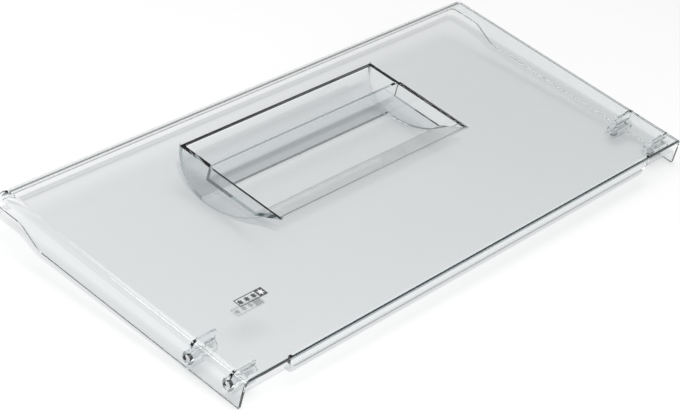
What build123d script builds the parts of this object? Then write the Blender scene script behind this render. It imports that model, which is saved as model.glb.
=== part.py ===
import os

from build123d import *

# Overall size of the moulding, in millimetres.
# X runs along the hinge edge, Y points from the hinge edge to the grip edge, Z points out of the front.
width = 437.0
depth = 202.0
wall = 2.5
edge_radius = 0.6

# Turned-down lip along the grip edge and flanges along the two sides
lip_depth = 11.0
lip_radius = 9.5
flange_depth = 19.2
flange_radius = 5.0
step_distance = 24.5
step_run = 17.0
step_radius = 12.0

# Stiffening flange under the hinge edge
apron_depth = 9.8
apron_inset = 38.0
apron_corner = 7.0

# Recessed grip: a finger slot with a quarter-round shell behind it, and a thumb dish in front of it
grip_width = 184.0
grip_wall = 2.0
grip_distance = 26.3
grip_depth = 28.0
grip_edge_radius = 0.8
slot_width = 23.2
slot_corner = 3.0
cheek_run = 52.5
dish_depth = 10.4
dish_length = 59.0
dish_corner = 1.5
dish_round = 2.5
ramp_run = 20.0
ramp_bend = 10.0

# Scar where the melt entered the mould, on the free edge of the shell
gate_diameter = 1.6
gate_height = 0.8

# Hinge and stay bosses inside the side flanges
boss_diameter = 8.5
boss_bore = 5.0
boss_length = 17.5
web_wall = 2.0
hinge_from_edge = 11.0
hinge_drop = 10.0
stay_from_edge = 41.0
stay_drop = 13.0

# Places that follow from the sizes; the lowest point of the grip is at Z = 0
top = grip_depth
grip_side = depth / 2
hinge_side = -depth / 2
step_start = grip_side - step_distance
step_end = step_start - step_run
shell_face = grip_side - grip_distance
grip_middle = shell_face - grip_depth
lip_back = shell_face - grip_wall - slot_width
lip_front = lip_back - grip_wall
grip_inside = grip_width - 2 * grip_wall
dish_floor = top - dish_depth
dish_start = lip_front - dish_length
dish_foot = dish_start + ramp_run
bend_start = dish_start - ramp_bend
blank_depth = flange_depth + step_radius


with BuildPart() as flap:
    # Panel with its lip and side flanges: a rounded blank, hollowed from behind and from the hinge edge
    with BuildSketch(Plane.XY.offset(top - blank_depth)):
        Rectangle(width, depth)
    extrude(amount=blank_depth)
    fillet(flap.edges().filter_by(Axis.X).group_by(Axis.Z)[-1].sort_by(Axis.Y)[-1], lip_radius)
    for side_face in flap.faces().filter_by(Axis.X):
        outline = side_face.edges()
        fold = outline - outline.sort_by(Axis.Z)[:1] - outline.sort_by(Axis.Y)[:1]
        fillet(fold, flange_radius)
    back_face = flap.faces().sort_by(Axis.Z)[0]
    hinge_face = flap.faces().sort_by(Axis.Y)[0]
    offset(amount=-wall, openings=[back_face, hinge_face])

    # Rear outline of lip and flanges, with an S-step between their two depths, and softened edges
    with BuildSketch(Plane.YZ) as rear_outline:
        with BuildLine():
            Polyline(
                (grip_side + wall, top - lip_depth),
                (step_start, top - lip_depth),
                (step_end, top - flange_depth),
                (hinge_side - wall, top - flange_depth),
                (hinge_side - wall, top - blank_depth - wall),
                (grip_side + wall, top - blank_depth - wall),
                close=True,
            )
        make_face()
        fillet(rear_outline.vertices().sort_by(Axis.X)[2:4], step_radius)
    extrude(amount=width, both=True, mode=Mode.SUBTRACT)
    lip_rim = flap.edges().filter_by(Axis.X).sort_by(Axis.Y)[-4:].sort_by(Axis.Z)[:2]
    fillet(lip_rim, edge_radius)
    fillet(flap.edges().group_by(Axis.Z)[-1].group_by(Axis.Y)[0], edge_radius)

    # Stiffening flange under the hinge edge
    with BuildSketch(Plane.XZ.offset(-hinge_side)) as apron:
        with Locations((0, top - apron_depth)):
            Rectangle(width - 2 * apron_inset, apron_depth - wall / 2, align=(Align.CENTER, Align.MIN))
        fillet(apron.vertices().group_by(Axis.Y)[0], apron_corner)
    extrude(amount=-wall)

    # Grip as a solid: a quarter round behind the slot, long curved cheeks, and the body of the dish
    with BuildSketch(Plane.YZ) as dish_body:
        with BuildLine():
            Polyline(
                (bend_start, top),
                (bend_start, top - wall),
                (dish_start, top - wall),
                (dish_foot, dish_floor - wall),
                (lip_back, dish_floor - wall),
                (lip_back, top),
                close=True,
            )
        make_face()
        corners = dish_body.vertices()
        fillet(corners.sort_by_distance((dish_start, top - wall))[0], ramp_bend - wall)
        fillet(corners.sort_by_distance((dish_foot, dish_floor - wall))[0], ramp_bend + wall)
    extrude(amount=grip_width / 2, both=True)
    with BuildSketch(Plane.YZ):
        with BuildLine():
            Line((grip_middle - cheek_run, top), (shell_face, top))
            CenterArc((grip_middle, top), grip_depth, 0, -90)
            TangentArc((grip_middle, 0), (grip_middle - cheek_run, top), tangent=(-1, 0))
        make_face()
    extrude(amount=grip_width / 2, both=True)
    cheek_rims = flap.edges().filter_by(GeomType.CIRCLE).filter_by(
        lambda rim: abs(abs(rim.center().X) - grip_width / 2) < grip_wall / 4
        and rim.radius > grip_depth - wall
    )
    fillet(cheek_rims, grip_edge_radius)

    # Space for the fingers: the slot in front of the shell, and the room under the dish, open to the back
    with BuildPart(mode=Mode.SUBTRACT):
        with BuildSketch(Plane.YZ) as finger_space:
            with Locations((grip_middle, top)):
                Circle(grip_depth - grip_wall)
            with Locations((lip_back, 0)):
                Rectangle(grip_depth, 2 * grip_depth, align=Align.MIN, mode=Mode.INTERSECT)
            with BuildLine():
                Polyline(
                    (bend_start, top - wall),
                    (dish_start, top - wall),
                    (dish_foot, dish_floor - wall),
                    (lip_back, dish_floor - wall),
                    (lip_back, -wall),
                    (bend_start, -wall),
                    close=True,
                )
            make_face()
            corners = finger_space.vertices()
            fillet(corners.sort_by_distance((dish_start, top - wall))[0], ramp_bend - wall)
            fillet(corners.sort_by_distance((dish_foot, dish_floor - wall))[0], ramp_bend + wall)
            fillet(corners.sort_by_distance((lip_back, dish_floor - wall))[0], dish_corner + grip_wall)
        extrude(amount=grip_inside / 2, both=True)
        with BuildSketch() as slot_outline:
            with Locations((0, shell_face - grip_wall)):
                Rectangle(grip_inside, depth, align=(Align.CENTER, Align.MAX))
            fillet(slot_outline.vertices().group_by(Axis.Y)[-1], slot_corner)
        extrude(amount=2 * grip_depth, both=True, mode=Mode.INTERSECT)

    # Thumb dish: the panel bends into a ramp, which runs down to a flat floor and up to the lip
    with BuildPart(mode=Mode.SUBTRACT):
        with BuildSketch(Plane.YZ) as dish_profile:
            with BuildLine():
                Polyline(
                    (bend_start, top),
                    (dish_start, top),
                    (dish_foot, dish_floor),
                    (lip_front, dish_floor),
                    (lip_front, top),
                    (lip_back, top),
                    (lip_back, top + wall),
                    (bend_start, top + wall),
                    close=True,
                )
            make_face()
            corners = dish_profile.vertices()
            fillet(corners.sort_by_distance((dish_start, top))[0], ramp_bend)
            fillet(corners.sort_by_distance((dish_foot, dish_floor))[0], ramp_bend)
            fillet(corners.sort_by_distance((lip_front, dish_floor))[0], dish_corner)
            fillet(corners.sort_by_distance((lip_front, top))[0], edge_radius)
        extrude(amount=grip_width, both=True)
        with BuildSketch(Plane.XZ.offset(-lip_back)):
            with Locations((0, top)):
                Rectangle(grip_inside, 2 * grip_depth)
                Rectangle(grip_inside + 2 * dish_round, 2 * dish_round)
            with Locations((0, top - dish_round)):
                with GridLocations(grip_inside + 2 * dish_round, 0, 2, 1):
                    Circle(dish_round, mode=Mode.SUBTRACT)
        extrude(amount=depth, mode=Mode.INTERSECT)

    # Scar of the gate
    shell_middle = grip_depth - grip_wall / 2
    with BuildSketch(Plane.XZ.offset(-lip_back)):
        with Locations((0, top - (shell_middle**2 - (lip_back - grip_middle) ** 2) ** 0.5)):
            Circle(gate_diameter / 2)
    extrude(amount=gate_height)

    # Bosses with a bore through the flange, each hung from the panel by a web
    for side in (-1, 1):
        for from_edge, drop in ((hinge_from_edge, hinge_drop), (stay_from_edge, stay_drop)):
            boss_foot = Plane(
                origin=(side * (width - wall) / 2, hinge_side + from_edge, top - drop),
                x_dir=(0, -side, 0),
                z_dir=(-side, 0, 0),
            )
            with BuildSketch(boss_foot):
                Circle(boss_diameter / 2)
                Rectangle(web_wall, drop - wall / 2, align=(Align.CENTER, Align.MIN))
            extrude(amount=boss_length + wall / 2)
            with BuildSketch(boss_foot):
                Circle(boss_bore / 2)
            extrude(amount=2 * boss_length, both=True, mode=Mode.SUBTRACT)

flap.part.label = "flap"
os.makedirs("parts", exist_ok=True)
export_step(flap.part, "parts/flap.step")
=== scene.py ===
import math

import bpy
from mathutils import Matrix, Vector


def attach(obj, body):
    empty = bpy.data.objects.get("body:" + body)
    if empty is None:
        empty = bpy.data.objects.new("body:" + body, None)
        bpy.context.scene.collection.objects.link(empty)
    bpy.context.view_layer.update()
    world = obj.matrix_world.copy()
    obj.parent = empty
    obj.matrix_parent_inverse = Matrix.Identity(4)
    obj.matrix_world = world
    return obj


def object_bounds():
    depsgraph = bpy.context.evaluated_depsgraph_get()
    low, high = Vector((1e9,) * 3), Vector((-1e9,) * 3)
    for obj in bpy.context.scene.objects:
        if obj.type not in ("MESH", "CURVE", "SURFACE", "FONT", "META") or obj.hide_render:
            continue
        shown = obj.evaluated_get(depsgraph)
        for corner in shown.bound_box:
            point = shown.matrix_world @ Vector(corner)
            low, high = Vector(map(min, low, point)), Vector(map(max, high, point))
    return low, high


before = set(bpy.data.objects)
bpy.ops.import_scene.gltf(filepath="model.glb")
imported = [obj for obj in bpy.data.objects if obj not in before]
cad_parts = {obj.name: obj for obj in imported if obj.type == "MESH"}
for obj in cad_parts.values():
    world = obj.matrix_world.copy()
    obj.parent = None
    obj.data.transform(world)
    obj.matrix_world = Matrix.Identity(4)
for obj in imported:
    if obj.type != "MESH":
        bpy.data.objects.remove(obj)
cad_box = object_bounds()


# The moulding: panel, lip, flanges, grip and bosses are one shot of clear polystyrene.
# Its polished faces show the table through them. Its thin edges look dark; along the hinge edge, the grip's
# cheek rims and the dish's left edge that dark line is painted shade in its colour, and the grip's shell is
# painted darker.

class Wire:
    """An output of a shader tree. Arithmetic on it adds Math nodes."""

    def __init__(self, socket):
        self.socket = socket
        self.tree = socket.id_data

    @staticmethod
    def node(tree, kind, settings=None, sockets=None, output=0):
        """One node: its settings first, then the values or wires of its sockets; gives one of its outputs."""
        made = tree.nodes.new(kind)
        for name, value in (settings or {}).items():
            setattr(made, name, value)
        for name, value in (sockets or {}).items():
            if isinstance(value, Wire):
                tree.links.new(value.socket, made.inputs[name])
            else:
                made.inputs[name].default_value = value
        return Wire(made.outputs[output]) if made.outputs else made

    def math(self, operation, first, second):
        return Wire.node(self.tree, "ShaderNodeMath", {"operation": operation}, {0: first, 1: second})

    def __add__(self, other):
        return self.math("ADD", self, other)

    def __radd__(self, other):
        return self.math("ADD", other, self)

    def __sub__(self, other):
        return self.math("SUBTRACT", self, other)

    def __rsub__(self, other):
        return self.math("SUBTRACT", other, self)

    def __mul__(self, other):
        return self.math("MULTIPLY", self, other)

    def __rmul__(self, other):
        return self.math("MULTIPLY", other, self)

    def larger(self, other):
        return self.math("MAXIMUM", self, other)

    def above(self, low):
        return self.math("GREATER_THAN", self, low)

    def magnitude(self):
        return self.math("ABSOLUTE", self, 0.0)

    def root(self):
        return self.math("SQRT", self, 0.0)

    def between(self, low, high):
        return self.above(low) * self.math("LESS_THAN", self, high)


def empty_tree(material):
    material.use_nodes = True
    material.node_tree.nodes.clear()
    return material.node_tree


def blend(tree, factor, first, second):
    """A colour between two others, each a wire or red, green and blue."""
    first, second = (shade if isinstance(shade, Wire) else (*shade, 1.0) for shade in (first, second))
    sockets = {"Factor": factor, "A": first, "B": second}
    return Wire.node(tree, "ShaderNodeMix", {"data_type": "RGBA"}, sockets, "Result")


def noise(tree, place, scale, detail):
    return Wire.node(
        tree, "ShaderNodeTexNoise", None, {"Vector": place, "Scale": scale, "Detail": detail}, "Fac"
    )


def mixed(tree, factor, first, second):
    return Wire.node(tree, "ShaderNodeMixShader", None, {0: factor, 1: first, 2: second})


# Places on the moulding, in metres; the grip's quarter round is centred on the front face
hinge_side, panel_top = cad_box[0][1], cad_box[1][2]
panel_wall = 0.0025
grip_half_width = 0.092
grip_half_inside = 0.090
grip_middle = 0.0467
cheek_run = 0.0525
ramp_radius = (cheek_run**2 + panel_top**2) / (2 * panel_top)
dish_start, lip_front, lip_back, slot_far = -0.0120, 0.0475, 0.0495, 0.0727
rim_width = 0.0008
margin = 0.0003
hair = 0.0001

clear_plastic = bpy.data.materials.new("clear_plastic")
tree = empty_tree(clear_plastic)
place = Wire.node(tree, "ShaderNodeTexCoord", output="Object")
flow = noise(tree, place, 22.0, 3.0)
haze = noise(tree, place, 260.0, 4.0)
x, y, z = (Wire.node(tree, "ShaderNodeSeparateXYZ", None, {"Vector": place}, axis) for axis in "XYZ")
outward = x.magnitude()
along = y - grip_middle
below_front = z - panel_top
below_ramp_centre = z - ramp_radius
shell_reach = (along * along + below_front * below_front).root()
ramp_reach = (along * along + below_ramp_centre * below_ramp_centre).root()
# Masks for the dark lines painted on the cheek rims, the hinge edge (with a lighter core) and the dish's left
# edge: painted shade where the plastic's edges look dark.
shell_rim = shell_reach.between(panel_top - rim_width, panel_top + margin) * along.above(0.0)
ramp_rim = (
    ramp_reach.between(ramp_radius - rim_width, ramp_radius + margin)
    * along.between(-cheek_run - margin, 0.0)
)
cheek_face = outward.between(grip_half_width - rim_width - margin, grip_half_width + 2 * hair)
cheek_rim = cheek_face * (shell_rim + ramp_rim)
panel_end = z.between(panel_top - panel_wall - hair, panel_top + hair)
end_core = z.between(panel_top - 0.68 * panel_wall, panel_top - 0.36 * panel_wall)
hinge_face = y.between(hinge_side - rim_width, hinge_side + rim_width - hair)
hinge_edge = hinge_face * panel_end * (1.0 - 0.5 * end_core)
dish_edge = (
    x.between(-grip_half_width - 2 * margin, hair - grip_half_inside)
    * y.between(dish_start, lip_front)
    * z.between(panel_top - 0.72 * panel_wall, panel_top + hair)
)
# The grip's shell, seen through the slot, gets a darker colour: painted shade standing in for the shade in
# the slot.
shell = (
    y.between(lip_back + hair, slot_far + hair)
    * z.between(-hair, panel_top - panel_wall - hair)
    * outward.between(-hair, grip_half_inside)
)
body_tint = blend(tree, flow, (0.978, 0.984, 0.986), (0.988, 0.992, 0.993))
tint_with_painted_shell_shade = blend(tree, shell, body_tint, (0.885, 0.895, 0.900))
# Painted shade: the dark edge lines drawn into the plastic's colour, over its own tint.
painted_edge_shade = 0.97 * hinge_edge + 0.7 * cheek_rim + 0.85 * dish_edge
colour_with_painted_shade = blend(tree, painted_edge_shade, tint_with_painted_shell_shade, (0.07, 0.13, 0.15))
ripple = Wire.node(tree, "ShaderNodeBump", None, {"Height": flow, "Strength": 0.03, "Distance": 0.002})
polished = Wire.node(
    tree, "ShaderNodeBsdfPrincipled", None,
    {
        "Base Color": colour_with_painted_shade,
        "Roughness": 0.01 + 0.04 * haze,
        "IOR": 1.58,
        "Transmission Weight": 1.0,
        "Normal": ripple,
    },
)

# Shadow and diffuse rays pass straight through, and are dimmed more where they graze the plastic.
# So does a ray after seven bounces, because light trapped in a thin wall would end as a black line.
bounce_limit = 6.5
thin = Wire.node(tree, "ShaderNodeBsdfTransparent", None, {"Color": (0.91, 0.914, 0.917, 1.0)})
steep = Wire.node(tree, "ShaderNodeBsdfTransparent", None, {"Color": (0.30, 0.32, 0.33, 1.0)})
slope = Wire.node(tree, "ShaderNodeLayerWeight", None, {"Blend": 0.5}, "Facing")
passed = mixed(tree, slope * slope, thin, steep)
shadow_ray, diffuse_ray, bounces = (
    Wire.node(tree, "ShaderNodeLightPath", output=name)
    for name in ("Is Shadow Ray", "Is Diffuse Ray", "Ray Depth")
)
leaves = shadow_ray.larger(diffuse_ray).larger(bounces.above(bounce_limit))
surface = mixed(tree, leaves, polished, passed)
depth_tint = Wire.node(
    tree, "ShaderNodeVolumeAbsorption", None, {"Color": (0.40, 0.60, 0.63, 1.0), "Density": 14.0}
)
Wire.node(tree, "ShaderNodeOutputMaterial", None, {"Surface": surface, "Volume": depth_tint})

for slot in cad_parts["flap"].material_slots:
    slot.material = clear_plastic


# The mark: the star symbol of the freezer class, a framed field of three stars beside a dark one.
# It is pad-printed in dark grey ink on the front of the panel, near its left hinge corner.
# The film of ink is opaque, so it throws a second, fainter mark on the table.
ink_height = 0.00006
mark_left, mark_right = -0.1737, -0.1509
mark_low, mark_high = -0.0556, -0.0492
mark_middle = (mark_low + mark_high) / 2
mark_line = 0.0006
square_left = mark_right - (mark_high - mark_low)
star_points = 6
field_star_radius, field_star_waist = 0.0022, 0.6
big_star_radius, big_star_waist = 0.0027, 0.42


def box_outline(left, low, right, high):
    return [(left, low), (right, low), (right, high), (left, high)]


def star_outline(x, y, radius, waist):
    turns = [math.pi * step / star_points for step in range(2 * star_points)]
    reach = [radius, radius * waist] * star_points
    return [(x + r * math.sin(turn), y + r * math.cos(turn)) for r, turn in zip(reach, turns)]


def printed_film(name, outlines, low, high, ink):
    """Flat prints of one ink as thin solids between two heights, on one mesh that rides on the moulding."""
    corners, faces = [], []
    for outline in outlines:
        first, count = len(corners), len(outline)
        corners += [(x, y, z) for z in (low, high) for x, y in outline]
        faces.append([first + step for step in reversed(range(count))])
        faces.append([first + count + step for step in range(count)])
        for step in range(count):
            after = (step + 1) % count
            faces.append([first + step, first + after, first + count + after, first + count + step])
    film = bpy.data.meshes.new(name)
    film.from_pydata(corners, [], faces)
    film.update()
    film.materials.append(ink)
    piece = bpy.data.objects.new(name, film)
    bpy.context.collection.objects.link(piece)
    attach(piece, "root")


def ink_of(name, shade, worn_shade):
    ink = bpy.data.materials.new(name)
    tree = empty_tree(ink)
    place = Wire.node(tree, "ShaderNodeTexCoord", output="Object")
    grain = noise(tree, place, 2400.0, 2.0)
    colour = blend(tree, grain, shade, worn_shade)
    film = Wire.node(
        tree, "ShaderNodeBsdfPrincipled", None, {"Base Color": colour, "Roughness": 0.35 + 0.2 * grain}
    )
    Wire.node(tree, "ShaderNodeOutputMaterial", None, {"Surface": film})
    return ink


dark_ink = ink_of("dark_ink", (0.060, 0.064, 0.070), (0.110, 0.115, 0.120))
white_ink = ink_of("white_ink", (0.72, 0.74, 0.75), (0.86, 0.87, 0.88))
star_step = (square_left - mark_left) / 3
field_stars = [
    star_outline(mark_left + (step + 0.5) * star_step, mark_middle, field_star_radius, field_star_waist)
    for step in range(3)
]
frame_lines = [
    box_outline(mark_left, mark_low, square_left, mark_low + mark_line),
    box_outline(mark_left, mark_high - mark_line, square_left, mark_high),
    box_outline(mark_left, mark_low + mark_line, mark_left + mark_line, mark_high - mark_line),
]
dark_square = box_outline(square_left, mark_low, mark_right, mark_high)
dark_prints = [dark_square, *frame_lines, *field_stars]
big_star = star_outline((square_left + mark_right) / 2, mark_middle, big_star_radius, big_star_waist)
ink_top = panel_top + ink_height
printed_film("mark", dark_prints, panel_top, ink_top, dark_ink)
printed_film("mark_star", [big_star], ink_top, ink_top + ink_height, white_ink)


# The table: a plain white top, no part of the object.
# The flap lies on it on the two cheeks of its grip and on the hinge ends of its flanges.
flange_depth = 0.0192
cheek_contact = Vector((0.0, grip_middle, 0.0))
flange_contact = Vector((0.0, hinge_side, panel_top - flange_depth))
table_size = 8.0
table_gap = 0.0005

bpy.ops.mesh.primitive_plane_add(size=table_size)
table = bpy.context.object
table.name = "table"
lean = math.atan2(flange_contact.z - cheek_contact.z, cheek_contact.y - flange_contact.y)
table_place = cheek_contact - Vector((0.0, 0.0, table_gap))
table.matrix_world = Matrix.Translation(table_place) @ Matrix.Rotation(-lean, 4, "X")
white_top = bpy.data.materials.new("white_top")
tree = empty_tree(white_top)
white = Wire.node(tree, "ShaderNodeBsdfDiffuse", None, {"Color": (0.93, 0.93, 0.93, 1.0)})
Wire.node(tree, "ShaderNodeOutputMaterial", None, {"Surface": white})
table.data.materials.append(white_top)


# The light: a large soft lamp overhead, a small one by the camera for crisp shadows, and a dim grey room.
# A faint third one behind the left end draws the bright line along the left fold.
room = bpy.data.worlds.new("room")
bpy.context.scene.world = room
room.use_nodes = True
walls = room.node_tree.nodes["Background"]
walls.inputs["Color"].default_value = (1.0, 1.0, 1.0, 1.0)
walls.inputs["Strength"].default_value = 0.28


def disc_lamp(name, place, aim, size, watts):
    lamp = bpy.data.lights.new(name, "AREA")
    lamp.shape = "DISK"
    lamp.size = size
    lamp.energy = watts
    stand = bpy.data.objects.new(name, lamp)
    stand.location = place
    stand.rotation_euler = (Vector(aim) - Vector(place)).to_track_quat("-Z", "Y").to_euler()
    bpy.context.collection.objects.link(stand)


disc_lamp("overhead", place=(0.4, 0.6, 3.0), aim=(0.0, 0.0, 0.0), size=2.4, watts=36.0)
disc_lamp("key", place=(-1.65, -1.1, 2.25), aim=(0.0, 0.0, 0.0), size=0.12, watts=60.0)
disc_lamp("rim", place=(-1.6, 1.05, 1.75), aim=(-0.2, 0.0, 0.0), size=0.4, watts=2.5)


# The camera: a long lens that looks over the left end of the hinge edge.
# It is rolled, so the flap slants across the picture.
eye = Vector((-0.95433, -0.59209, 0.76882))
line_of_sight = Vector((0.6953, 0.4382, -0.5696)).normalized()
roll = math.radians(15.7)
level_right = line_of_sight.cross(Vector((0, 0, 1))).normalized()
level_up = level_right.cross(line_of_sight)
right = math.cos(roll) * level_right + math.sin(roll) * level_up
up = math.cos(roll) * level_up - math.sin(roll) * level_right
lens = bpy.data.cameras.new("camera")
lens.sensor_width = 36.0
lens.lens = 114.03
camera = bpy.data.objects.new("camera", lens)
camera.matrix_world = Matrix.Translation(eye) @ Matrix((right, up, -line_of_sight)).transposed().to_4x4()
bpy.context.collection.objects.link(camera)
bpy.context.scene.camera = camera
bpy.context.scene.view_settings.view_transform = "Standard"
